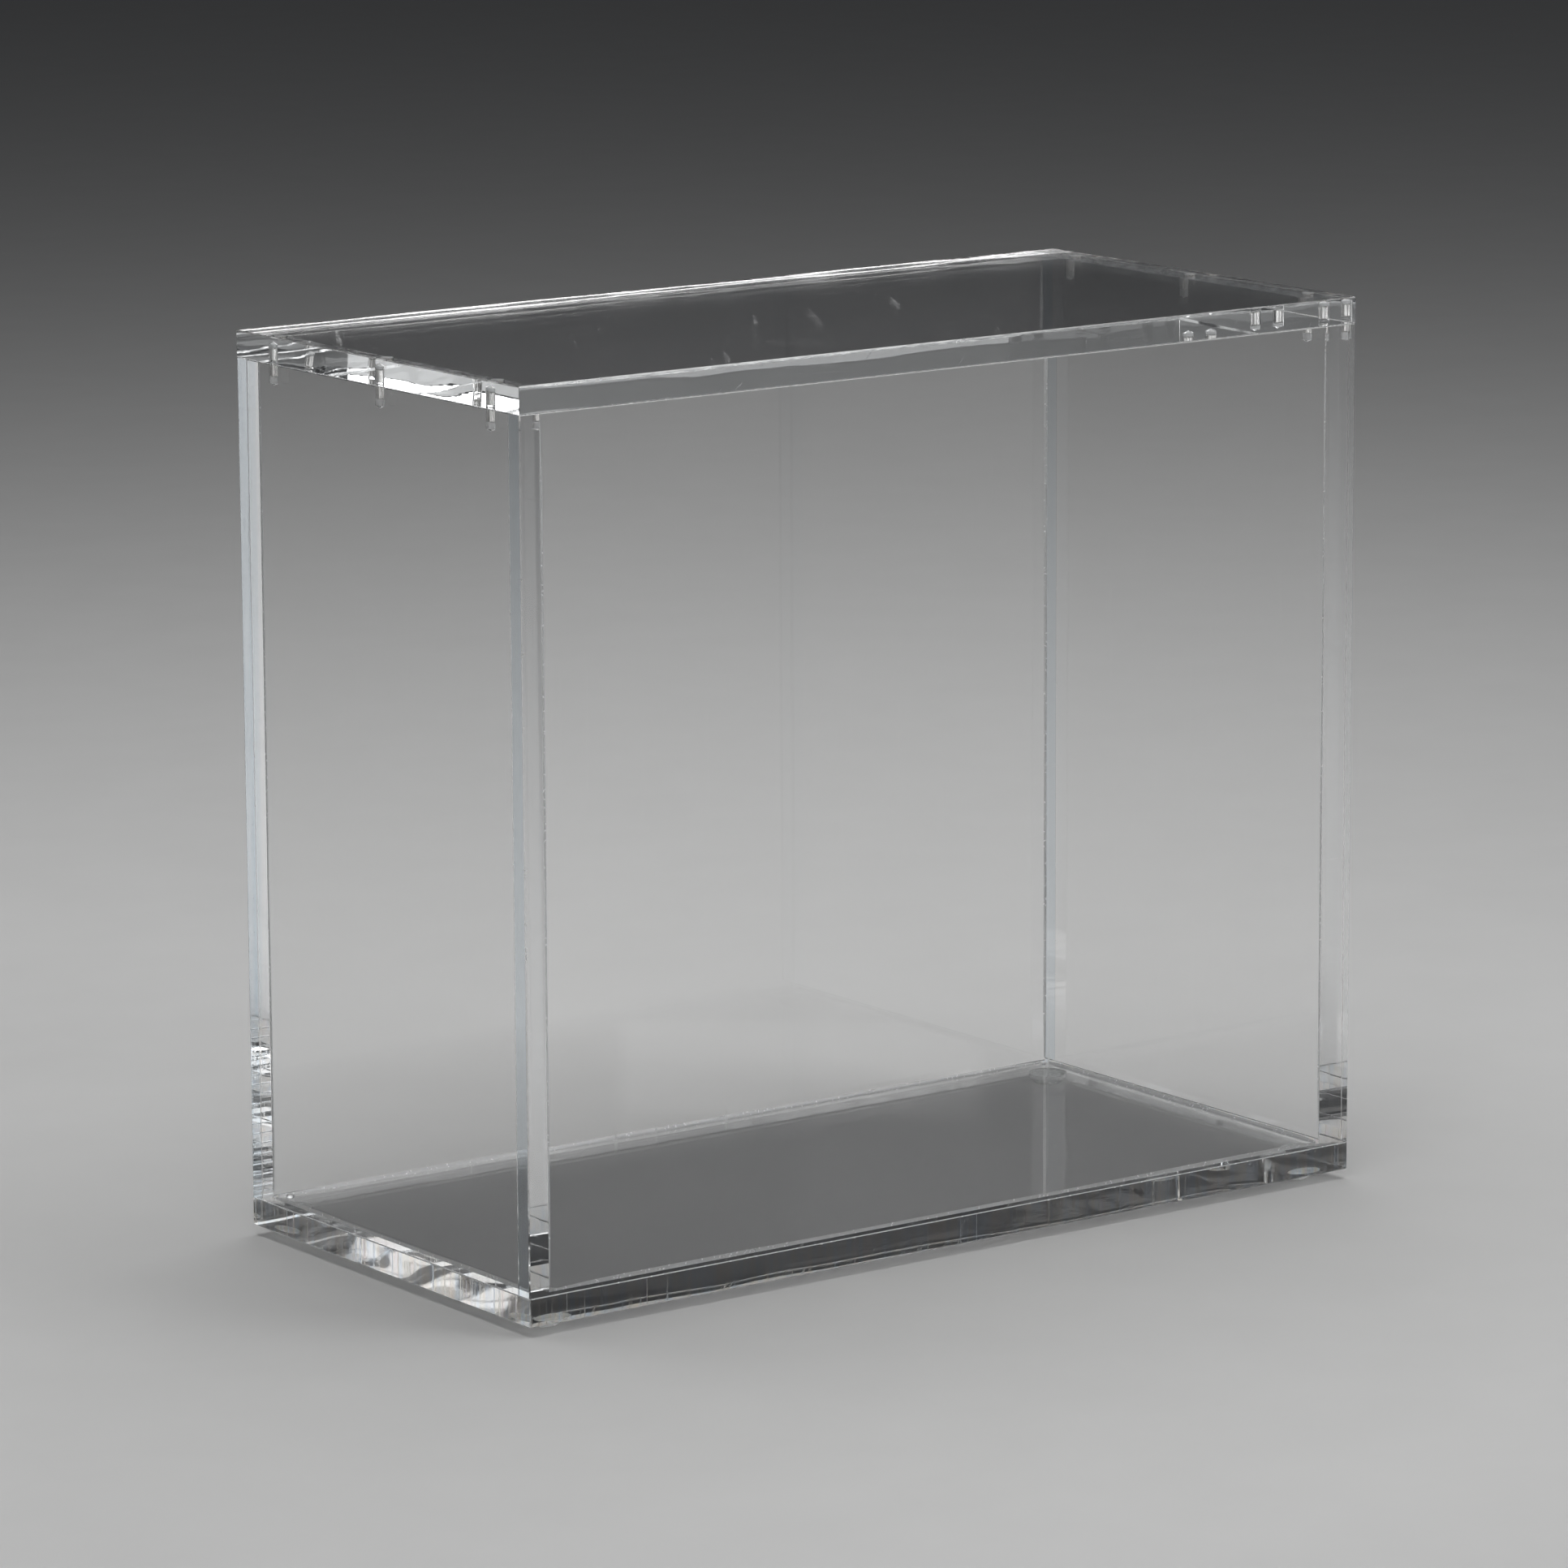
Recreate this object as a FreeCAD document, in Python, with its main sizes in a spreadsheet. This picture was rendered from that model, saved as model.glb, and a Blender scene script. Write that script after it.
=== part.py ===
import FreeCAD, Part
import os
import Sketcher

V = FreeCAD.Vector

# ---------------------------------------------------------------------------
# Clear acrylic display box with a lift-off magnetic lid.
# +X runs along the wide front, +Y to the back, +Z up. The origin is in the
# middle of the footprint, on the surface that the four feet stand on.
# ---------------------------------------------------------------------------

doc = FreeCAD.newDocument("acrylic_display_box")

# Driving dimensions, in millimetres and degrees.
SIZES = [
    ("case_wide", 205.0),  # outside width, lid, walls and base alike
    ("case_deep", 99.0),  # outside depth
    ("case_tall", 182.0),  # underside of the base to the top of the lid
    ("lid_thick", 5.4),
    ("base_thick", 5.8),
    ("face_thick", 3.7),  # front and rear walls
    ("end_thick", 6.0),  # end walls, which take the magnets
    ("lid_gap", 0.1),  # air film between the lid and the wall tops
    ("cement_film", 0.02),  # clear cement in the seams and under the feet
    ("edge_bevel", 0.25),  # polished arris on free edges
    ("seam_bevel", 0.12),  # fine arris along bonded seams
    ("hole_wide", 2.7),  # drilled magnet holes
    ("drill_point", 140.0),
    ("lid_hole_deep", 3.75),
    ("wall_hole_deep", 3.95),
    ("magnet_wide", 2.5),
    ("magnet_long", 2.5),
    ("magnet_bevel", 0.15),
    ("magnet_pitch", 38.0),  # from the middle magnet to the outer two
    ("magnet_inset", 3.0),  # from the end face to the row of magnets
    ("lid_magnet_recess", 0.5),  # below the lid's underside
    ("wall_magnet_recess", 0.05),
    ("foot_wide", 8.0),
    ("foot_tall", 2.0),
    ("foot_rim", 0.8),  # height of the foot's straight side
    ("foot_flat", 5.6),  # diameter of the flat that meets the table
    ("foot_inset_x", 8.2),  # from the base's ends to the middle of a foot
    ("foot_inset_y", 7.5),  # from the base's front and back to the same
]
sheet = doc.addObject("Spreadsheet::Sheet", "Sizes")
sheet.Label = "Sizes"
for row, (alias, value) in enumerate(SIZES, start=1):
    sheet.set(f"A{row}", alias)
    sheet.set(f"B{row}", str(value))
    sheet.setAlias(f"B{row}", alias)
doc.recompute()

WALL_TALL = (
    "(Sizes.case_tall - Sizes.lid_thick - Sizes.base_thick - Sizes.lid_gap"
    " - Sizes.cement_film)"
)
WALL_FOOT = "(Sizes.foot_tall + Sizes.base_thick + Sizes.cement_film)"
LID_FOOT = "(Sizes.foot_tall + Sizes.case_tall - Sizes.lid_thick)"
ROW_X = "(Sizes.case_wide / 2 - Sizes.magnet_inset)"

nodes = []


def new_body(label):
    body = doc.addObject("PartDesign::Body", label)
    body.Label = label
    nodes.append(body)
    return body


def place(body, x="0", y="0", z="0"):
    body.setExpression("Placement.Base.x", x)
    body.setExpression("Placement.Base.y", y)
    body.setExpression("Placement.Base.z", z)


def new_sketch(body, name, role, lift=None):
    sketch = body.newObject("Sketcher::SketchObject", name)
    plane = next(f for f in body.Origin.OriginFeatures if f.Role == role)
    sketch.AttachmentSupport = [(plane, "")]
    sketch.MapMode = "FlatFace"
    if lift:
        sketch.setExpression("AttachmentOffset.Base.z", lift)
    return sketch


def bind(sketch, constraint, name, expression):
    index = sketch.addConstraint(constraint)
    sketch.renameConstraint(index, name)
    sketch.setExpression(f"Constraints.{name}", expression)


def rectangle(sketch, wide, deep):
    """A rectangle about the sketch's origin."""
    c = [V(-20, -10, 0), V(20, -10, 0), V(20, 10, 0), V(-20, 10, 0)]
    for i in range(4):
        sketch.addGeometry(Part.LineSegment(c[i], c[(i + 1) % 4]), False)
    for i in range(4):
        sketch.addConstraint(Sketcher.Constraint("Coincident", i, 2, (i + 1) % 4, 1))
    for kind, line in (
        ("Horizontal", 0),
        ("Vertical", 1),
        ("Horizontal", 2),
        ("Vertical", 3),
    ):
        sketch.addConstraint(Sketcher.Constraint(kind, line))
    sketch.addConstraint(Sketcher.Constraint("Symmetric", 0, 1, 1, 2, -1, 1))
    bind(sketch, Sketcher.Constraint("DistanceX", 0, 1, 0, 2, 40.0), "wide", wide)
    bind(sketch, Sketcher.Constraint("DistanceY", 1, 1, 1, 2, 20.0), "deep", deep)


def pad(body, name, sketch, length):
    feature = body.newObject("PartDesign::Pad", name)
    feature.Profile = sketch
    feature.setExpression("Length", length)
    doc.recompute()
    return feature


def bevel(body, name, base, size, wanted):
    """Chamfers the straight edges of base that wanted(middle, direction) picks."""
    picked = []
    for i, edge in enumerate(base.Shape.Edges, start=1):
        a, b = edge.Vertexes[0].Point, edge.Vertexes[-1].Point
        if wanted((a + b) * 0.5, b - a):
            picked.append(f"Edge{i}")
    assert picked, (body.Label, name)
    feature = body.newObject("PartDesign::Chamfer", name)
    feature.Base = (base, picked)
    feature.setExpression("Size", size)
    doc.recompute()
    return feature


def drill(body, name, sketch, depth, upwards):
    """Blind holes with the drill's pointed end, on the circles of sketch."""
    before = body.Shape.Volume
    feature = body.newObject("PartDesign::Hole", name)
    feature.Profile = sketch
    doc.recompute()
    feature.ThreadType = 0
    feature.DepthType = 0
    feature.DrillPoint = 1
    feature.Reversed = upwards
    feature.setExpression("Diameter", "Sizes.hole_wide")
    feature.setExpression("Depth", depth)
    feature.setExpression("DrillPointAngle", "Sizes.drill_point")
    doc.recompute()
    cut = before - body.Shape.Volume
    print(f"{body.Label}: drilled {cut:.2f} mm3")
    assert cut > 5, (body.Label, name, cut)
    return feature


def circles(sketch, stations, radius):
    """One circle at each (x, y) of stations, given as expressions, all alike."""
    for i, (x, y, at) in enumerate(stations):
        sketch.addGeometry(
            Part.Circle(V(at[0], at[1], 0), V(0, 0, 1), 1.35), False
        )
        for axis, kind, value, guess in (
            ("x", "DistanceX", x, at[0]),
            ("y", "DistanceY", y, at[1]),
        ):
            if value == "0":
                line = -2 if axis == "x" else -1
                sketch.addConstraint(Sketcher.Constraint("PointOnObject", i, 3, line))
            elif value.startswith("-"):
                bind(
                    sketch,
                    Sketcher.Constraint(kind, i, 3, -1, 1, abs(guess)),
                    f"{axis}{i}",
                    value[1:],
                )
            else:
                bind(
                    sketch,
                    Sketcher.Constraint(kind, -1, 1, i, 3, abs(guess)),
                    f"{axis}{i}",
                    value,
                )
        if i:
            sketch.addConstraint(Sketcher.Constraint("Equal", 0, i))
    bind(sketch, Sketcher.Constraint("Radius", 0, 1.35), "radius", radius)


STEPS = (
    ("front", "-Sizes.magnet_pitch", -38.0),
    ("mid", "0", 0.0),
    ("rear", "Sizes.magnet_pitch", 38.0),
)


# --- base slab: the full footprint, all edges polished ----------------------
base = new_body("base_panel")
sk = new_sketch(base, "base_outline", "XY_Plane")
rectangle(sk, "Sizes.case_wide", "Sizes.case_deep")
slab = pad(base, "base_slab", sk, "Sizes.base_thick")
bevel(base, "base_arris", slab, "Sizes.edge_bevel", lambda m, d: True)
place(base, z="Sizes.foot_tall")

# --- front and rear walls: the full width, standing on the base -------------
for label, side in (("front_wall", -1), ("rear_wall", 1)):
    wall = new_body(label)
    sk = new_sketch(wall, f"{label}_outline", "XY_Plane")
    rectangle(sk, "Sizes.case_wide", "Sizes.face_thick")
    sheet_pad = pad(wall, f"{label}_sheet", sk, WALL_TALL)
    # the two upright corners that show outside
    corners = bevel(
        wall,
        f"{label}_corner_arris",
        sheet_pad,
        "Sizes.edge_bevel",
        lambda m, d: abs(d.z) > 1 and m.y * side > 0,
    )
    # the upright edges along the seams with the end walls, and the top outer edge
    bevel(
        wall,
        f"{label}_fine_arris",
        corners,
        "Sizes.seam_bevel",
        lambda m, d: (abs(d.z) > 1 and m.y * side < -0.5 and abs(m.x) > 50)
        or (abs(d.x) > 50 and m.z > 100 and m.y * side > 0.5),
    )
    edge = "(Sizes.case_deep / 2 - Sizes.face_thick / 2)"
    place(wall, y=("-" + edge) if side < 0 else edge, z=WALL_FOOT)

# --- end walls: between the front and rear walls, drilled from the top ------
for label, side in (("left_end_wall", -1), ("right_end_wall", 1)):
    wall = new_body(label)
    sk = new_sketch(wall, f"{label}_outline", "XY_Plane")
    rectangle(
        sk,
        "Sizes.end_thick",
        "(Sizes.case_deep - 2 * Sizes.face_thick - 2 * Sizes.cement_film)",
    )
    sheet_pad = pad(wall, f"{label}_sheet", sk, WALL_TALL)
    bevel(
        wall,
        f"{label}_seam_arris",
        sheet_pad,
        "Sizes.seam_bevel",
        lambda m, d: m.x * side > 1 and (abs(d.z) > 1 or m.z > 100),
    )
    sk = new_sketch(wall, f"{label}_magnet_row", "XY_Plane", WALL_TALL)
    # the row stands magnet_inset in from the outer face of the wall
    row = "(Sizes.end_thick / 2 - Sizes.magnet_inset)"
    circles(
        sk,
        [("0", y, (0.0, at)) for _, y, at in STEPS],
        "Sizes.hole_wide / 2",
    )
    sk.setExpression("AttachmentOffset.Base.x", row if side > 0 else "-" + row)
    drill(wall, f"{label}_magnet_holes", sk, "Sizes.wall_hole_deep", False)
    edge = "(Sizes.case_wide / 2 - Sizes.end_thick / 2)"
    place(wall, x=("-" + edge) if side < 0 else edge, z=WALL_FOOT)

# --- lid slab: the full footprint, drilled from below ------------------------
lid = new_body("lid_panel")
sk = new_sketch(lid, "lid_outline", "XY_Plane")
rectangle(sk, "Sizes.case_wide", "Sizes.case_deep")
slab = pad(lid, "lid_slab", sk, "Sizes.lid_thick")
top = bevel(
    lid, "lid_top_arris", slab, "Sizes.edge_bevel", lambda m, d: m.z > 5 and abs(d.z) < 1
)
bevel(
    lid,
    "lid_fine_arris",
    top,
    "Sizes.seam_bevel",
    lambda m, d: m.z < 0.01 or abs(d.z) > 4,
)
sk = new_sketch(lid, "lid_magnet_rows", "XY_Plane")
circles(
    sk,
    [
        (("-" if sx < 0 else "") + ROW_X, y, (sx * 99.5, at))
        for sx in (-1, 1)
        for _, y, at in STEPS
    ],
    "Sizes.hole_wide / 2",
)
drill(lid, "lid_magnet_holes", sk, "Sizes.lid_hole_deep", True)
place(lid, z=LID_FOOT)


# --- magnets: plain cylinders with broken edges ------------------------------
def magnet(label, x, y, z):
    body = new_body(label)
    sk = new_sketch(body, f"{label}_outline", "XY_Plane")
    sk.addGeometry(Part.Circle(V(0, 0, 0), V(0, 0, 1), 1.25), False)
    sk.addConstraint(Sketcher.Constraint("Coincident", 0, 3, -1, 1))
    bind(sk, Sketcher.Constraint("Radius", 0, 1.25), "radius", "Sizes.magnet_wide / 2")
    rod = pad(body, f"{label}_rod", sk, "Sizes.magnet_long")
    rims = [
        f"Edge{i}"
        for i, e in enumerate(rod.Shape.Edges, start=1)
        if e.Curve.TypeId == "Part::GeomCircle"
    ]
    assert len(rims) == 2, rims
    rim = body.newObject("PartDesign::Chamfer", f"{label}_broken_edges")
    rim.Base = (rod, rims)
    rim.setExpression("Size", "Sizes.magnet_bevel")
    place(body, x, y, z)


for end, sign in (("left", "-"), ("right", "")):
    for step, y, _ in STEPS:
        magnet(
            f"lid_magnet_{end}_{step}",
            sign + ROW_X,
            y,
            f"{LID_FOOT} + Sizes.lid_magnet_recess",
        )
for end, sign in (("left", "-"), ("right", "")):
    for step, y, _ in STEPS:
        magnet(
            f"wall_magnet_{end}_{step}",
            sign + ROW_X,
            y,
            f"{WALL_FOOT} + {WALL_TALL} - Sizes.wall_magnet_recess - Sizes.magnet_long",
        )


# --- feet: moulded bumpers with a domed underside and a small flat -----------
def foot(label, x, y):
    body = new_body(label)
    sk = new_sketch(body, f"{label}_profile", "XZ_Plane")
    r, tall, rim, flat = 4.0, 2.0, 0.8, 2.8
    low = tall - rim
    # half profile: axis, flat, dome, straight side, top
    p = [V(0, 0, 0), V(flat, 0, 0), V(r, low, 0), V(r, tall, 0), V(0, tall, 0)]
    sk.addGeometry(Part.LineSegment(p[0], p[1]), False)
    sk.addGeometry(Part.Arc(p[1], V(3.45, 0.58, 0), p[2]), False)
    sk.addGeometry(Part.LineSegment(p[2], p[3]), False)
    sk.addGeometry(Part.LineSegment(p[3], p[4]), False)
    sk.addGeometry(Part.LineSegment(p[4], p[0]), False)
    # the arc runs from whichever of its ends the solver took first
    arc = sk.Geometry[1]
    first = 1 if (arc.StartPoint - p[1]).Length < 1e-6 else 2
    other = 3 - first
    sk.addConstraint(Sketcher.Constraint("Coincident", 0, 1, -1, 1))
    sk.addConstraint(Sketcher.Constraint("Horizontal", 0))
    sk.addConstraint(Sketcher.Constraint("Coincident", 0, 2, 1, first))
    sk.addConstraint(Sketcher.Constraint("Coincident", 1, other, 2, 1))
    sk.addConstraint(Sketcher.Constraint("Vertical", 2))
    sk.addConstraint(Sketcher.Constraint("Coincident", 2, 2, 3, 1))
    sk.addConstraint(Sketcher.Constraint("Horizontal", 3))
    sk.addConstraint(Sketcher.Constraint("Coincident", 3, 2, 4, 1))
    sk.addConstraint(Sketcher.Constraint("Coincident", 4, 2, 0, 1))
    sk.addConstraint(Sketcher.Constraint("Vertical", 4))
    sk.addConstraint(Sketcher.Constraint("PointOnObject", 1, 3, -2))
    bind(sk, Sketcher.Constraint("DistanceX", 0, 1, 0, 2, flat), "flat", "Sizes.foot_flat / 2")
    bind(sk, Sketcher.Constraint("DistanceX", 3, 2, 3, 1, r), "radius", "Sizes.foot_wide / 2")
    bind(
        sk,
        Sketcher.Constraint("DistanceY", 4, 2, 4, 1, tall),
        "tall",
        "Sizes.foot_tall - Sizes.cement_film",
    )
    bind(sk, Sketcher.Constraint("DistanceY", 2, 1, 2, 2, rim), "rim", "Sizes.foot_rim")
    doc.recompute()
    turned = body.newObject("PartDesign::Revolution", f"{label}_bumper")
    turned.Profile = sk
    turned.ReferenceAxis = (sk, ["V_Axis"])
    turned.Angle = 360.0
    doc.recompute()
    place(body, x, y, "0")


FOOT_X = "(Sizes.case_wide / 2 - Sizes.foot_inset_x)"
FOOT_Y = "(Sizes.case_deep / 2 - Sizes.foot_inset_y)"
foot("foot_front_left", "-" + FOOT_X, "-" + FOOT_Y)
foot("foot_front_right", FOOT_X, "-" + FOOT_Y)
foot("foot_rear_left", "-" + FOOT_X, FOOT_Y)
foot("foot_rear_right", FOOT_X, FOOT_Y)

doc.recompute()

# --- every object sound, every sub-part one valid solid ----------------------
for obj in doc.Objects:
    bad = [s for s in obj.State if s in ("Invalid", "Error")]
    if bad:
        raise SystemExit(f"{obj.Name} ({obj.Label}): {obj.State}")
for body in nodes:
    shape = body.Shape
    if shape.isNull() or not shape.isValid() or len(shape.Solids) != 1:
        raise SystemExit(f"{body.Label}: bad shape")
    bb = shape.BoundBox
    print(
        f"{body.Label}: {shape.Volume:.3f} mm3, "
        f"x {bb.XMin:.3f}..{bb.XMax:.3f}, y {bb.YMin:.3f}..{bb.YMax:.3f}, z {bb.ZMin:.3f}..{bb.ZMax:.3f}"
    )

os.makedirs("parts", exist_ok=True)
for body in nodes:
    body.Shape.exportStep(f"parts/{body.Label}.step")
print(len(nodes), "parts written")
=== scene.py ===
import math
import random

import bmesh
import bpy
from mathutils import Matrix, Vector


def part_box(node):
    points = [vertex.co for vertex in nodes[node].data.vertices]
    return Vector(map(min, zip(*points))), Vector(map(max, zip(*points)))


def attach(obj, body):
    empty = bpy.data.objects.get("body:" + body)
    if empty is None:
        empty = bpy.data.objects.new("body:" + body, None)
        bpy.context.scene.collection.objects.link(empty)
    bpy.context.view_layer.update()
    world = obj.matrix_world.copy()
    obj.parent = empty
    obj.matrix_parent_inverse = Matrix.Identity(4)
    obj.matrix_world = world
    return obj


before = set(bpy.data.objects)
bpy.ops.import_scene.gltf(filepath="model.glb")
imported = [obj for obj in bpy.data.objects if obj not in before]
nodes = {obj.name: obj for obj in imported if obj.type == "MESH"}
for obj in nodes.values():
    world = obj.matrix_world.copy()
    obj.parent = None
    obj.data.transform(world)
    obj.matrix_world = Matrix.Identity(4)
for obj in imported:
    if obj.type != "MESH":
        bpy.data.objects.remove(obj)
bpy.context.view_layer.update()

scene = bpy.context.scene
MM = 0.001

# ---------------------------------------------------------------------------
# sizes read from the frame
# ---------------------------------------------------------------------------
base_lo, base_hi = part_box("base_panel")
lid_lo, lid_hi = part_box("lid_panel")
front_lo, front_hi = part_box("front_wall")
end_lo, end_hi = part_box("right_end_wall")
mag_lo, mag_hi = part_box("lid_magnet_right_rear")
mag_mid = (mag_lo + mag_hi) / 2
foot_lo, foot_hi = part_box("foot_rear_right")
foot_mid = (foot_lo + foot_hi) / 2

HALF_X, HALF_Y = base_hi.x, base_hi.y
FILM = front_lo.z - base_hi.z  # clear cement in the seams
WALL_Y = -front_hi.y  # inner faces of the front and rear walls
WALL_X = end_lo.x  # inner faces of the end walls
SEAM_Y = WALL_Y - FILM / 2  # middle of the upright seams
SEAM_Z = base_hi.z + FILM / 2  # middle of the seam on the base
FOOT_Z = base_lo.z - FILM / 2  # middle of the film on the feet
WALL_TOP = front_hi.z
EDGE, FINE = 0.25 * MM, 0.12 * MM  # arrises


# ---------------------------------------------------------------------------
# a small vocabulary for node trees
# ---------------------------------------------------------------------------
class Tree:
    def __init__(self, name):
        self.mat = bpy.data.materials.new(name)
        self.mat.use_nodes = True
        self.nt = self.mat.node_tree
        self.nt.nodes.clear()

    def new(self, kind, **props):
        n = self.nt.nodes.new(kind)
        for k, v in props.items():
            setattr(n, k, v)
        return n

    def put(self, socket, value):
        if isinstance(value, bpy.types.NodeSocket):
            self.nt.links.new(value, socket)
        elif value is not None:
            socket.default_value = value

    def math(self, op, a, b=None, c=None):
        n = self.new("ShaderNodeMath", operation=op)
        for s, v in zip(n.inputs, (a, b, c)):
            self.put(s, v)
        return n.outputs[0]

    def add(self, *a):
        out = a[0]
        for x in a[1:]:
            out = self.math("ADD", out, x)
        return out

    def sub(self, a, b):
        return self.math("SUBTRACT", a, b)

    def mul(self, *a):
        out = a[0]
        for x in a[1:]:
            out = self.math("MULTIPLY", out, x)
        return out

    def abs(self, a):
        return self.math("ABSOLUTE", a)

    def less(self, a, b):
        return self.math("LESS_THAN", a, b)

    def more(self, a, b):
        return self.math("GREATER_THAN", a, b)

    def most(self, *a):
        out = a[0]
        for x in a[1:]:
            out = self.math("MAXIMUM", out, x)
        return out

    def near(self, a, b, tol):
        return self.math("COMPARE", a, b, tol)

    def ramp(self, x, lo, hi, to_lo=0.0, to_hi=1.0):
        n = self.new("ShaderNodeMapRange", interpolation_type="SMOOTHSTEP", clamp=True)
        for s, v in zip(n.inputs, (x, lo, hi, to_lo, to_hi)):
            self.put(s, v)
        return n.outputs[0]

    def split(self, v):
        n = self.new("ShaderNodeSeparateXYZ")
        self.put(n.inputs[0], v)
        return n.outputs[0], n.outputs[1], n.outputs[2]

    def scaled(self, v, s):
        n = self.new("ShaderNodeVectorMath", operation="MULTIPLY")
        self.put(n.inputs[0], v)
        n.inputs[1].default_value = s
        return n.outputs[0]

    def turned(self, v, angle):
        n = self.new("ShaderNodeVectorRotate", rotation_type="Z_AXIS")
        self.put(n.inputs["Vector"], v)
        n.inputs["Angle"].default_value = angle
        return n.outputs[0]

    def noise(self, v, scale, detail=2.0, rough=0.5, distort=0.0):
        """Noise stretched by a scale per axis, in features per metre."""
        n = self.new("ShaderNodeTexNoise")
        self.put(n.inputs["Vector"], self.scaled(v, scale))
        n.inputs["Scale"].default_value = 1.0
        n.inputs["Detail"].default_value = detail
        n.inputs["Roughness"].default_value = rough
        n.inputs["Distortion"].default_value = distort
        return n.outputs["Fac"]

    def mix(self, f, a, b):
        n = self.new("ShaderNodeMix", data_type="FLOAT")
        for s, v in zip((n.inputs[0], n.inputs[2], n.inputs[3]), (f, a, b)):
            self.put(s, v)
        return n.outputs[0]

    def tint(self, f, a, b):
        n = self.new("ShaderNodeMix", data_type="RGBA")
        for s, v in zip((n.inputs[0], n.inputs[6], n.inputs[7]), (f, a, b)):
            self.put(s, v)
        return n.outputs[2]

    def stops(self, f, *stops):
        n = self.new("ShaderNodeValToRGB")
        self.put(n.inputs[0], f)
        e = n.color_ramp.elements
        while len(e) < len(stops):
            e.new(1.0)
        for el, (at, col) in zip(e, stops):
            el.position, el.color = at, (*col, 1)
        return n.outputs[0]

    def position(self):
        return self.new("ShaderNodeTexCoord").outputs["Object"]

    def bump(self, height_mm):
        n = self.new("ShaderNodeBump")
        n.inputs["Strength"].default_value = 1.0
        n.inputs["Distance"].default_value = MM
        self.put(n.inputs["Height"], height_mm)
        return n.outputs["Normal"]

    def principled(self, **values):
        n = self.new("ShaderNodeBsdfPrincipled")
        for k, v in values.items():
            self.put(n.inputs[k.replace("_", " ")], v)
        out = self.new("ShaderNodeOutputMaterial")
        self.nt.links.new(n.outputs[0], out.inputs["Surface"])
        return self.mat


# ---------------------------------------------------------------------------
# clear cast acrylic. Where two panels are bonded the joint has no optical
# surface, so the refractive index falls to 1 on the bonded areas.
# ---------------------------------------------------------------------------
ACRYLIC, CLEAR = 1.49, (1, 1, 1, 1)


def bonded(t, pos):
    x, y, z = t.split(pos)
    tol = FILM * 0.75
    ax, ay = t.abs(x), t.abs(y)
    upright = t.mul(
        t.near(ay, SEAM_Y, tol),
        t.more(ax, WALL_X),
        t.less(ax, HALF_X - FINE),
        t.more(z, SEAM_Z),
        t.less(z, WALL_TOP),
    )
    on_base = t.mul(
        t.near(z, SEAM_Z, tol),
        t.less(ax, HALF_X - EDGE),
        t.less(ay, HALF_Y - EDGE),
        t.most(t.more(ax, WALL_X), t.more(ay, WALL_Y)),
    )
    fx, fy = t.sub(ax, foot_mid.x), t.sub(ay, foot_mid.y)
    r = t.math("SQRT", t.add(t.mul(fx, fx), t.mul(fy, fy)))
    on_feet = t.mul(t.near(z, FOOT_Z, tol), t.less(r, 4.0 * MM))
    return t.most(upright, on_base, on_feet)


def hairlines(t, pos, flat):
    """Sparse fine scratches from wiping, as roughness, on an upright or a flat face."""
    if flat:
        sizes = (26.0, 1100.0, 1.0), (900.0, 22.0, 1.0)
    else:
        sizes = (820.0, 820.0, 20.0), (24.0, 24.0, 1000.0)
    turned = t.turned(pos, 0.5 if flat else 0.0)
    a, b = (t.ramp(t.noise(turned, v, 1.0, 0.6, 0.3), 0.735, 0.755) for v in sizes)
    return t.mul(t.most(a, b), 0.10)


def face(flat):
    t = Tree("acrylic_flat_face" if flat else "acrylic_upright_face")
    pos = t.position()
    return t.principled(
        Base_Color=CLEAR,
        Roughness=hairlines(t, pos, flat),
        IOR=ACRYLIC,
        Transmission_Weight=1.0,
    )


def bonded_face(flat):
    """A broad face that carries a bonded strip or spot."""
    t = Tree("acrylic_bonded_flat_face" if flat else "acrylic_bonded_upright_face")
    pos = t.position()
    joint = bonded(t, pos)
    return t.principled(
        Base_Color=CLEAR,
        Roughness=t.mul(hairlines(t, pos, flat), t.sub(1.0, joint)),
        IOR=t.mix(joint, ACRYLIC, 1.0),
        Transmission_Weight=1.0,
    )


def joint_face():
    t = Tree("acrylic_joint")
    cloud = t.noise(t.position(), (300.0, 300.0, 300.0))
    return t.principled(
        Base_Color=t.tint(cloud, (0.985, 0.995, 1, 1), CLEAR),
        Roughness=0.0,
        IOR=1.0,
        Transmission_Weight=1.0,
    )


def flame_edge():
    """Flame-polished: a crowned edge with long soft swells and faint draw lines."""
    t = Tree("acrylic_flame_edge")
    pos = t.position()
    x, y, z = t.split(pos)
    mid = t.sub(z, (lid_lo.z + lid_hi.z) / 2)
    crown = t.mul(mid, mid, -1600.0)
    swell = t.mul(t.noise(pos, (34.0, 34.0, 90.0), 0.0, 0.5, 0.5), 0.06)
    lines = t.mul(t.noise(pos, (6.0, 6.0, 1000.0), 2.0, 0.6, 0.2), 0.0011)
    return t.principled(
        Base_Color=(0.97, 0.99, 1, 1),
        Roughness=t.ramp(t.noise(pos, (60.0, 60.0, 400.0)), 0.60, 0.85, 0.0, 0.03),
        IOR=ACRYLIC,
        Transmission_Weight=1.0,
        Normal=t.bump(t.add(crown, swell, lines)),
    )


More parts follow.
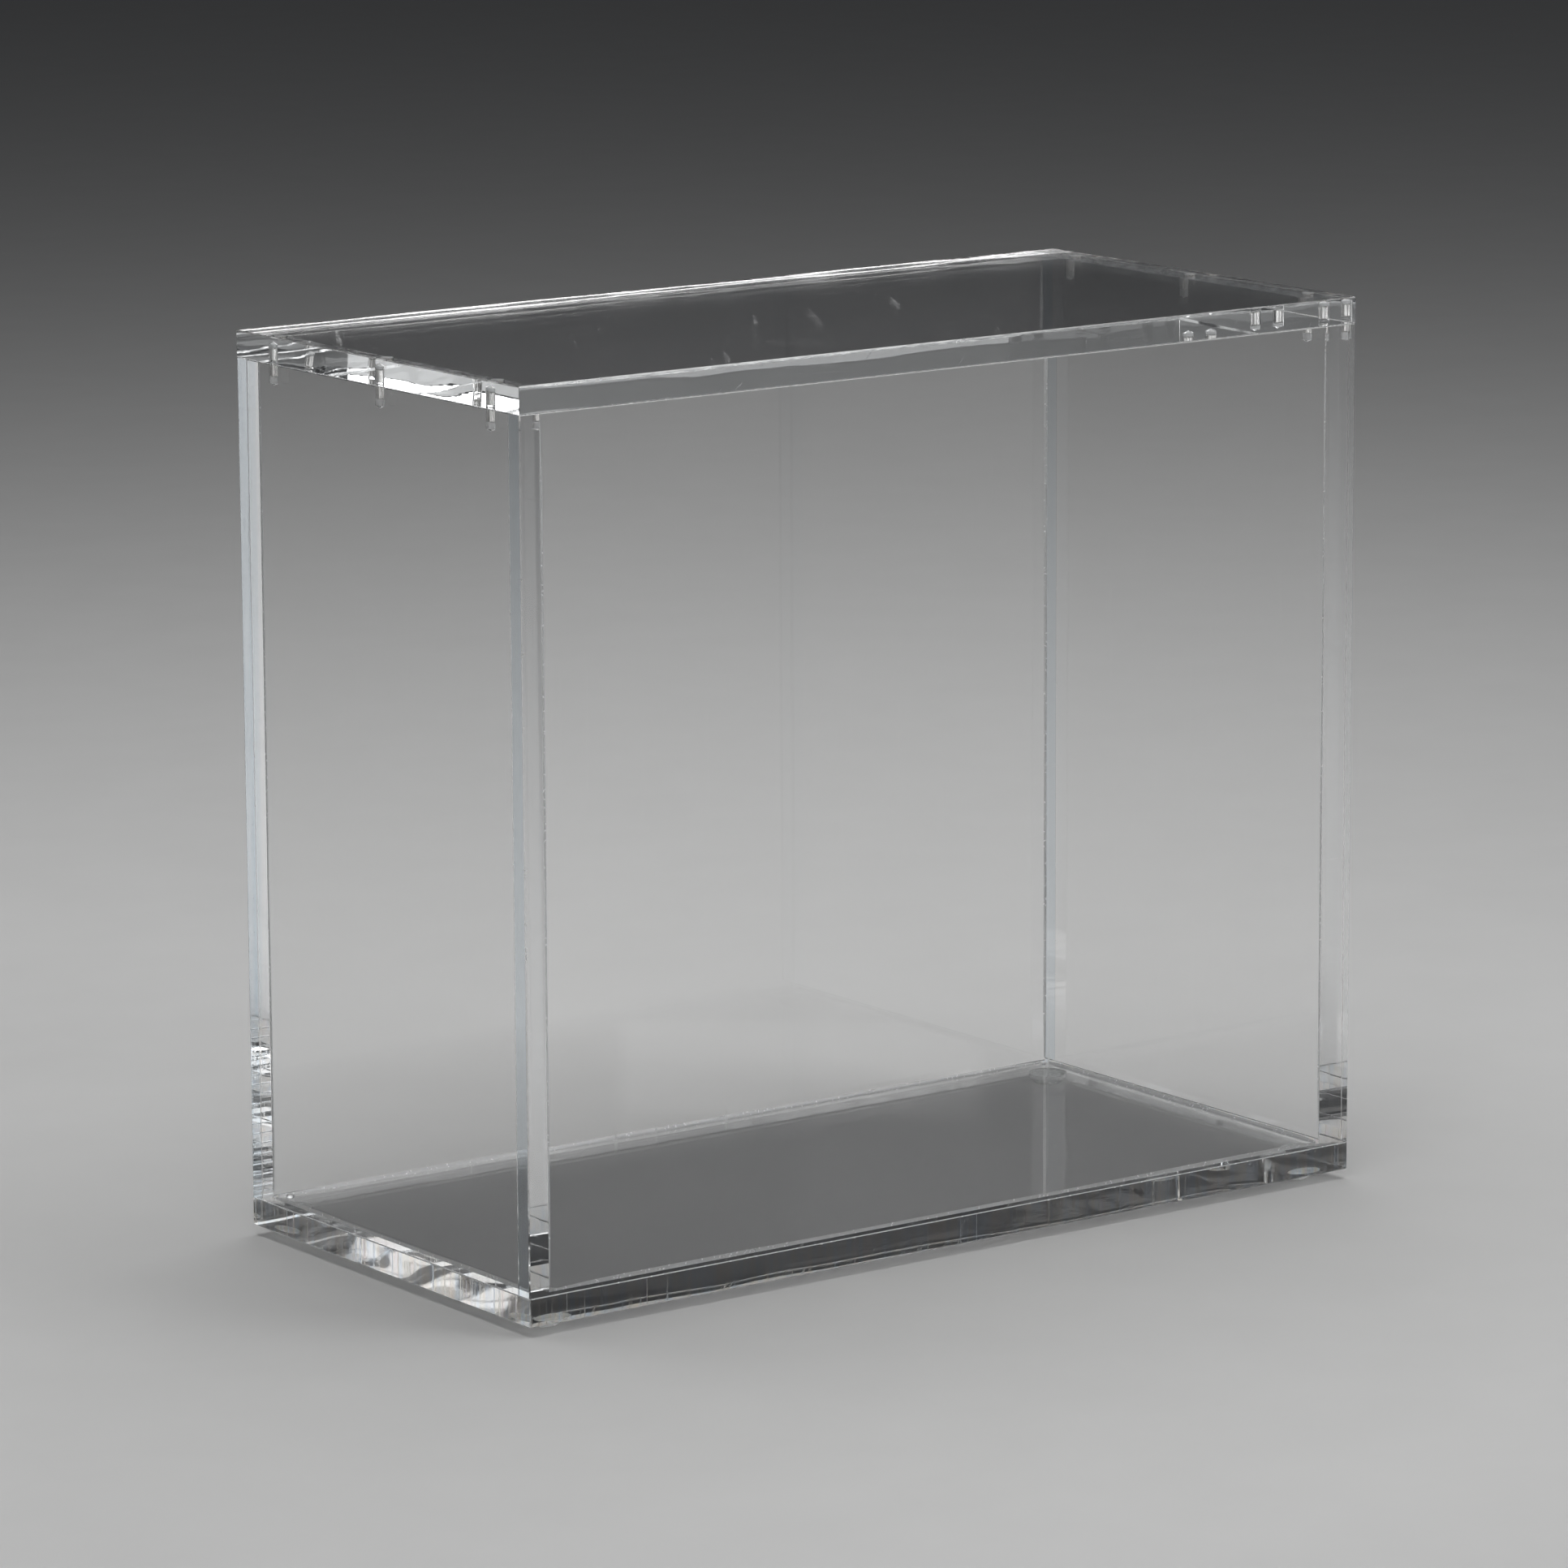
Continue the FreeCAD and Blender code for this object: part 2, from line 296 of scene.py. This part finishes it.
def cut_edge():
    """Diamond-cut: fine upright cutter marks on a soft swell, with streaks of painted rainbow fringes in the colour.
    """
    t = Tree("acrylic_cut_edge")
    pos = t.position()
    x, y, z = t.split(pos)
    mid = t.sub(z, (base_lo.z + base_hi.z) / 2)
    crown = t.mul(mid, mid, -1800.0)
    swell = t.mul(t.noise(pos, (30.0, 30.0, 80.0), 0.0, 0.5, 0.8), 0.09)
    marks = t.noise(pos, (1700.0, 1700.0, 12.0), 3.0, 0.65)
    # painted rainbow fringes: streaks tinted blue, cream, orange and pink stand in for the dispersion of light at
    # the cut edge, not a colour of the acrylic
    painted_fringe = t.noise(pos, (620.0, 620.0, 40.0), 3.0, 0.7, 0.3)
    colour = t.stops(
        painted_fringe,
        (0.30, (0.96, 0.98, 1.0)),
        (0.40, (0.70, 0.84, 1.0)),
        (0.46, (0.98, 0.99, 1.0)),
        (0.53, (1.0, 0.97, 0.86)),
        (0.58, (1.0, 0.86, 0.70)),
        (0.63, (0.94, 0.84, 0.95)),
        (0.70, (0.96, 0.98, 1.0)),
    )
    return t.principled(
        Base_Color=colour,
        Roughness=t.ramp(marks, 0.50, 0.74, 0.0, 0.30),
        IOR=ACRYLIC,
        Transmission_Weight=1.0,
        Normal=t.bump(t.add(crown, swell, t.mul(marks, 0.006))),
    )


def sheet_edge():
    """The narrow upright ends of the front and rear walls, polished along."""
    t = Tree("acrylic_sheet_edge")
    pos = t.position()
    lines = t.noise(pos, (1300.0, 1300.0, 5.0), 2.0, 0.5)
    wave = t.noise(pos, (40.0, 260.0, 14.0), 0.0)
    return t.principled(
        Base_Color=t.tint(lines, (0.66, 0.77, 0.86, 1), (0.83, 0.90, 0.95, 1)),
        Roughness=t.ramp(lines, 0.5, 0.8, 0.0, 0.10),
        IOR=ACRYLIC,
        Transmission_Weight=1.0,
        Normal=t.bump(t.add(t.mul(lines, 0.0012), t.mul(wave, 0.004))),
    )


def sawn_top():
    """The walls' top edges under the lid: scraped flat, with small chips."""
    t = Tree("acrylic_sawn_top")
    pos = t.position()
    grain = t.noise(pos, (900.0, 900.0, 900.0), 3.0, 0.65)
    return t.principled(
        Base_Color=(0.97, 0.99, 1, 1),
        Roughness=t.ramp(grain, 0.42, 0.68, 0.04, 0.45),
        IOR=ACRYLIC,
        Transmission_Weight=0.88,
        Normal=t.bump(t.mul(grain, 0.04)),
    )


def arris():
    t = Tree("acrylic_arris")
    pos = t.position()
    nick = t.noise(pos, (500.0, 500.0, 500.0), 3.0, 0.6)
    return t.principled(
        Base_Color=CLEAR,
        Roughness=t.ramp(nick, 0.4, 0.75, 0.10, 0.30),
        IOR=ACRYLIC,
        Transmission_Weight=1.0,
    )


def bore():
    """The side of a magnet's hole: clear glue fills it, so only faint drill rings show."""
    t = Tree("acrylic_glued_bore")
    pos = t.position()
    rings = t.noise(pos, (300.0, 300.0, 4200.0), 2.0, 0.6)
    return t.principled(
        Base_Color=CLEAR,
        Roughness=t.ramp(rings, 0.55, 0.75, 0.0, 0.20),
        IOR=1.06,
        Transmission_Weight=1.0,
    )


def glue():
    """The set glue in the end of a hole, frosted white by the drilled surface."""
    t = Tree("acrylic_glue")
    pos = t.position()
    grain = t.noise(pos, (1800.0, 1800.0, 5200.0), 3.0, 0.6)
    return t.principled(
        Base_Color=t.tint(grain, (0.91, 0.92, 0.93, 1), (0.99, 0.99, 0.99, 1)),
        Roughness=t.ramp(grain, 0.3, 0.7, 0.35, 0.65),
        IOR=1.45,
        Transmission_Weight=0.06,
        Normal=t.bump(t.mul(grain, 0.02)),
    )


def cement(name, clear):
    """Dried solvent cement, slightly milky with fine bubbles."""
    t = Tree(name)
    pos = t.position()
    bubble = t.noise(pos, (1500.0, 1500.0, 1500.0), 2.0, 0.6)
    return t.principled(
        Base_Color=t.tint(bubble, (0.93, 0.95, 0.96, 1), CLEAR),
        Roughness=t.ramp(bubble, 0.58, 0.72, 0.05, 0.5),
        IOR=ACRYLIC,
        Transmission_Weight=clear,
    )


def bumper_top():
    """The clear face of a bumper that its adhesive joins to the base."""
    t = Tree("clear_bumper_top")
    g = t.noise(t.position(), (900.0, 900.0, 900.0), 3.0)
    return t.principled(
        Base_Color=t.tint(g, (0.95, 0.97, 0.97, 1), (0.99, 1, 1, 1)),
        Roughness=0.0,
        IOR=1.0,
        Transmission_Weight=1.0,
    )


def bumper_side():
    """The moulded side and underside of a bumper: soft polyurethane, milky and satin."""
    t = Tree("clear_bumper_side")
    g = t.noise(t.position(), (900.0, 900.0, 900.0), 3.0)
    return t.principled(
        Base_Color=t.tint(g, (0.93, 0.945, 0.94, 1), (0.98, 0.985, 0.98, 1)),
        Roughness=t.ramp(g, 0.3, 0.7, 0.15, 0.35),
        IOR=1.47,
        Transmission_Weight=0.15,
    )


def nickel():
    t = Tree("nickel_plating")
    pos = t.position()
    g = t.noise(pos, (2600.0, 2600.0, 240.0), 3.0)
    return t.principled(
        Base_Color=t.tint(g, (0.90, 0.885, 0.865, 1), (0.97, 0.96, 0.945, 1)),
        Metallic=1.0,
        Roughness=t.ramp(g, 0.3, 0.7, 0.22, 0.38),
    )


# ---------------------------------------------------------------------------
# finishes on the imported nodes, by the kind of face
# ---------------------------------------------------------------------------
FINISH = {
    "upright": face(False),
    "flat": face(True),
    "bonded_upright": bonded_face(False),
    "bonded_flat": bonded_face(True),
    "joint": joint_face(),
    "flame": flame_edge(),
    "cut": cut_edge(),
    "sheet": sheet_edge(),
    "sawn": sawn_top(),
    "arris": arris(),
    "bore": bore(),
}


def hole_distance(p):
    dy = min(abs(p.y), abs(abs(p.y) - mag_mid.y))
    return math.hypot(abs(p.x) - mag_mid.x, dy)


def kind_of(name, n, c, corners):
    ax, ay, az = abs(n.x), abs(n.y), abs(n.z)
    if az < 0.95 and max(hole_distance(p) for p in corners) < 1.45 * MM:
        return "bore"
    if max(ax, ay, az) < 0.95:
        return "arris"
    if name == "lid_panel":
        return "flat" if az > 0.95 else "flame"
    if name == "base_panel":
        return "bonded_flat" if az > 0.95 else "cut"
    if az > 0.95:
        return "sawn" if n.z > 0 else "joint"
    if name in ("front_wall", "rear_wall"):
        if ax > 0.95:
            return "sheet"
        return "bonded_upright" if abs(c.y) < HALF_Y - MM else "upright"
    return "joint" if ay > 0.95 else "upright"


for name in ("lid_panel", "base_panel", "front_wall", "rear_wall", "left_end_wall", "right_end_wall"):
    mesh = nodes[name].data
    kinds = [
        kind_of(name, p.normal, p.center, [mesh.vertices[i].co for i in p.vertices])
        for p in mesh.polygons
    ]
    used = sorted(set(kinds))
    mesh.materials.clear()
    for k in used:
        mesh.materials.append(FINISH[k])
    for p, k in zip(mesh.polygons, kinds):
        p.material_index = used.index(k)


def assign(names, mat):
    for n in names:
        nodes[n].data.materials.clear()
        nodes[n].data.materials.append(mat)


assign([n for n in nodes if "magnet" in n], nickel())
TOP, SIDE = bumper_top(), bumper_side()
for n in nodes:
    if n.startswith("foot_"):
        mesh = nodes[n].data
        mesh.materials.clear()
        mesh.materials.append(TOP)
        mesh.materials.append(SIDE)
        for p in mesh.polygons:
            p.material_index = 0 if p.normal.z > 0.95 else 1


# ---------------------------------------------------------------------------
# cement fillets in the inside corners: thin hollow beads, a little uneven
# ---------------------------------------------------------------------------
CEMENT, DROP = cement("acrylic_cement", 0.5), cement("acrylic_cement_drop", 0.8)


def piece(name, bm, mat, body):
    bmesh.ops.recalc_face_normals(bm, faces=bm.faces)
    me = bpy.data.meshes.new(name)
    bm.to_mesh(me)
    bm.free()
    me.materials.append(mat)
    o = bpy.data.objects.new(name, me)
    scene.collection.objects.link(o)
    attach(o, body)


def fillet(name, start, end, a, b, size, seed):
    """A concave bead along start-end in the corner of the directions a and b."""
    rng = random.Random(seed)
    start, end, a, b = (Vector(v) for v in (start, end, a, b))
    gap, rings, arc = 0.006 * MM, 60, 5
    sway = [rng.uniform(0, 6.28) for _ in range(3)]
    bm = bmesh.new()
    loops = []
    for i in range(rings + 1):
        u = i / rings
        leg = 1 + 0.11 * math.sin(7 * u + sway[0]) + 0.05 * math.sin(19 * u + sway[1])
        leg += 0.015 * math.sin(53 * u + sway[2])
        leg *= size * (0.55 + 0.45 * math.sin(math.pi / 2 * min(1, u * 14, (1 - u) * 14)))
        at = start.lerp(end, u) + (a + b) * gap
        pts = [at]
        for k in range(arc + 1):
            th = math.radians(270 - 90 * k / arc)
            pts.append(at + a * leg * (1 + math.cos(th)) + b * leg * (1 + math.sin(th)))
        loops.append([bm.verts.new(p) for p in pts])
    n = arc + 2
    for lo, hi in zip(loops, loops[1:]):
        for k in range(n):
            bm.faces.new((lo[k], lo[(k + 1) % n], hi[(k + 1) % n], hi[k]))
    bm.faces.new(loops[0])
    bm.faces.new(reversed(loops[-1]))
    piece(name, bm, CEMENT, "case")


def groove(name, start, end, out, seed):
    """Cement in the groove between a wall's foot and the base's arris, facing out."""
    rng = random.Random(seed)
    start, end, out = (Vector(v) for v in (start, end, out))
    rings = 80
    bm = bmesh.new()
    loops = []
    for i in range(rings + 1):
        at = start.lerp(end, i / rings)
        ebb = rng.uniform(0.0, 0.025) * MM
        pts = [
            at - out * 0.195 * MM + Vector((0, 0, -0.005 * MM)),
            at - out * (0.010 * MM + ebb) + Vector((0, 0, 0.008 * MM)),
            at - out * (0.020 * MM + ebb) + Vector((0, 0, -0.085 * MM)),
            at - out * (0.012 * MM + ebb) + Vector((0, 0, -0.190 * MM)),
        ]
        loops.append([bm.verts.new(p) for p in pts])
    for lo, hi in zip(loops, loops[1:]):
        for k in range(4):
            bm.faces.new((lo[k], lo[(k + 1) % 4], hi[(k + 1) % 4], hi[k]))
    bm.faces.new(loops[0])
    bm.faces.new(reversed(loops[-1]))
    piece(name, bm, CEMENT, "case")


INSET, ZB = 1.1 * MM, base_hi.z
X, Y, Z = (1, 0, 0), (0, 1, 0), (0, 0, 1)
NX, NY = (-1, 0, 0), (0, -1, 0)
low, high = ZB + INSET, WALL_TOP - INSET
seed = 11
for sx, wx, ax in (("left", -WALL_X, X), ("right", WALL_X, NX)):
    for sy, wy, ay in (("front", -WALL_Y, Y), ("rear", WALL_Y, NY)):
        seed += 1
        line = (wx, wy, low), (wx, wy, high)
        fillet(f"cement_bead_upright_{sy}_{sx}", *line, ax, ay, 0.45 * MM, seed)
    seed += 1
    line = (wx, -WALL_Y + INSET, ZB), (wx, WALL_Y - INSET, ZB)
    fillet(f"cement_bead_base_{sx}", *line, ax, Z, 0.8 * MM, seed)
for sy, wy, ay in (("front", -WALL_Y, Y), ("rear", WALL_Y, NY)):
    seed += 1
    line = (-WALL_X + INSET, wy, ZB), (WALL_X - INSET, wy, ZB)
    fillet(f"cement_bead_base_{sy}", *line, ay, Z, 0.8 * MM, seed)



def drop(name, at, size, seed):
    """A small drop of cement that ran out on the base, flattened and uneven."""
    rng = random.Random(seed)
    bm = bmesh.new()
    bmesh.ops.create_icosphere(bm, subdivisions=3, radius=1.0)
    lobes = [(Vector([rng.uniform(-1, 1) for _ in range(3)]).normalized(), rng.uniform(0.08, 0.2)) for _ in range(4)]
    for v in bm.verts:
        d = v.co.normalized()
        k = 1 + sum(a * max(0.0, d.dot(axis)) ** 3 for axis, a in lobes)
        flat = 0.75 if d.z > 0 else 0.35
        v.co = Vector(at) + Vector((d.x * k, d.y * k, d.z * k * flat)) * size
    lowest = min(v.co.z for v in bm.verts)
    for v in bm.verts:
        v.co.z += ZB + 0.006 * MM - lowest
    for f in bm.faces:
        f.smooth = True
    piece(name, bm, DROP, "case")


drop("cement_drop_left", (-WALL_X + 2.6 * MM, WALL_Y - 2.4 * MM, ZB), 0.85 * MM, 71)
drop("cement_drop_right", (WALL_X - 1.9 * MM, WALL_Y - 2.0 * MM, ZB), 0.45 * MM, 72)

END = 0.4 * MM
for sx, sign in (("left", -1), ("right", 1)):
    seed += 1
    line = (sign * HALF_X, -HALF_Y + END, ZB), (sign * HALF_X, HALF_Y - END, ZB)
    groove(f"cement_groove_{sx}", *line, (sign, 0, 0), seed)
for sy, sign in (("front", -1), ("rear", 1)):
    seed += 1
    line = (-HALF_X + END, sign * HALF_Y, ZB), (HALF_X - END, sign * HALF_Y, ZB)
    groove(f"cement_groove_{sy}", *line, (0, sign, 0), seed)

# ---------------------------------------------------------------------------
# set glue between a magnet's inner end and the end of its hole
# ---------------------------------------------------------------------------
GLUE = glue()


def hole_end(panel, up):
    """Heights of the shoulder and of the tip of a panel's magnet holes."""
    at = [v.co for v in nodes[panel].data.vertices if hole_distance(v.co) < 1.45 * MM]
    heights = [p.z * up for p in at]
    tip = max(heights)
    shoulder = max(z for z, p in zip(heights, at) if z < tip and hole_distance(p) > 1.2 * MM)
    return shoulder * up, tip * up


def plug(name, x, y, start, shoulder, tip, body):
    up = 1 if tip > start else -1
    sides, r, gap = 28, 1.31 * MM, 0.025 * MM * up
    rows = [
        (0.55, start + gap + 0.05 * MM * up),
        (0.84, start + gap),
        (0.97, start + gap + 0.03 * MM * up),
        (1.0, start + gap + 0.10 * MM * up),
        (1.0, shoulder - 2 * gap),
        (0.985, shoulder - gap),
        (0.5, (shoulder + tip) / 2 - 1.5 * gap),
        (0.08, tip - 2 * gap),
    ]
    bm = bmesh.new()
    loops = []
    for k, z in rows:
        turn = [math.tau * i / sides for i in range(sides)]
        loops.append([bm.verts.new((x + r * k * math.cos(a), y + r * k * math.sin(a), z)) for a in turn])
    for lo, hi in zip(loops, loops[1:]):
        for i in range(sides):
            bm.faces.new((lo[i], lo[(i + 1) % sides], hi[(i + 1) % sides], hi[i])).smooth = True
    bm.faces.new(loops[0])
    bm.faces.new(reversed(loops[-1]))
    piece(name, bm, GLUE, body)


for n in [n for n in nodes if "magnet" in n]:
    lo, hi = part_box(n)
    x, y = (lo.x + hi.x) / 2, (lo.y + hi.y) / 2
    if n.startswith("lid_"):
        plug(n.replace("magnet", "glue"), x, y, hi.z, *hole_end("lid_panel", 1), "lid")
    else:
        plug(n.replace("magnet", "glue"), x, y, lo.z, *hole_end("right_end_wall", -1), "case")

# ---------------------------------------------------------------------------
# floor
# ---------------------------------------------------------------------------
me = bpy.data.meshes.new("floor")
S, ZF = 12.0, -0.00002
me.from_pydata([(-S, -S, ZF), (S, -S, ZF), (S, S, ZF), (-S, S, ZF)], [], [(0, 1, 2, 3)])
floor = bpy.data.objects.new("floor", me)
scene.collection.objects.link(floor)
t = Tree("pale_floor")
g = t.noise(t.position(), (40.0, 40.0, 40.0), 4.0)
me.materials.append(
    t.principled(
        Base_Color=t.tint(g, (0.66, 0.66, 0.655, 1), (0.70, 0.70, 0.695, 1)), Roughness=0.6
    )
)


# ---------------------------------------------------------------------------
# soft studio light
# ---------------------------------------------------------------------------
def softbox(name, at, to, wide, tall, watts, colour=(1, 1, 1)):
    lamp = bpy.data.lights.new(name, "AREA")
    lamp.shape = "RECTANGLE"
    lamp.size, lamp.size_y = wide, tall
    lamp.energy = watts
    lamp.color = colour
    o = bpy.data.objects.new(name, lamp)
    o.location = at
    o.rotation_euler = (Vector(to) - Vector(at)).to_track_quat("-Z", "Y").to_euler()
    scene.collection.objects.link(o)
    return o


softbox("overhead", (0.05, 0.10, 0.85), (0.05, 0.10, 0), 1.0, 1.0, 6.4)
softbox("front_right", (2.24, -3.30, 0.44), (0.0, 0.0, 0.16), 1.6, 0.76, 21.0)
softbox("front_right_rim", (2.24, -3.30, 0.44), (0.0, 0.0, 0.16), 1.9, 0.83, 2.5)
for k in range(5):  # a small light near the box that fades to its rim
    w, h = 0.050 + 0.015 * k, 0.011 + 0.004 * k
    softbox(f"front_right_near_{k}", (0.400, -0.453, 0.148), (0.05, 0.0, 0.0), w, h, 2.8 * w * h)
softbox("front_right_floor", (0.90, -1.25, 1.10), (0.75, -1.05, 0.0), 0.8, 0.8, 6.0)
softbox("camera_side", (-1.9, -2.6, 0.95), (0.0, 0.0, 0.14), 2.6, 1.5, 20.0)
softbox("front_left", (-1.75, -0.95, 0.62), (0.0, 0.0, 0.14), 0.8, 0.8, 4.5)

world = bpy.data.worlds.new("studio")
scene.world = world
world.use_nodes = True
world.node_tree.nodes["Background"].inputs["Color"].default_value = (0.018, 0.019, 0.021, 1)
world.node_tree.nodes["Background"].inputs["Strength"].default_value = 1.0

# ---------------------------------------------------------------------------
# camera at the photograph's viewing angle
# ---------------------------------------------------------------------------
az, el, roll = (math.radians(a) for a in (36.1811, 11.3076, -0.2819))
look = Vector((math.sin(az) * math.cos(el), math.cos(az) * math.cos(el), -math.sin(el)))
right = look.cross(Vector((0, 0, 1))).normalized()
up = right.cross(look)
r2 = right * math.cos(roll) + up * math.sin(roll)
u2 = -right * math.sin(roll) + up * math.cos(roll)
cam = bpy.data.cameras.new("camera")
cam.sensor_width = 36.0
cam.sensor_fit = "HORIZONTAL"
cam.lens = 172.31
cam.clip_start, cam.clip_end = 0.05, 50.0
eye = bpy.data.objects.new("camera", cam)
eye.matrix_world = (
    Matrix.Translation((-0.88257, -1.1993, 0.38577))
    @ Matrix((r2, u2, -look)).transposed().to_4x4()
)
scene.collection.objects.link(eye)
scene.camera = eye

scene.view_settings.view_transform = "Standard"
scene.cycles.max_bounces = 128
scene.cycles.transmission_bounces = 96
scene.cycles.glossy_bounces = 96
scene.cycles.diffuse_bounces = 4
scene.cycles.transparent_max_bounces = 32
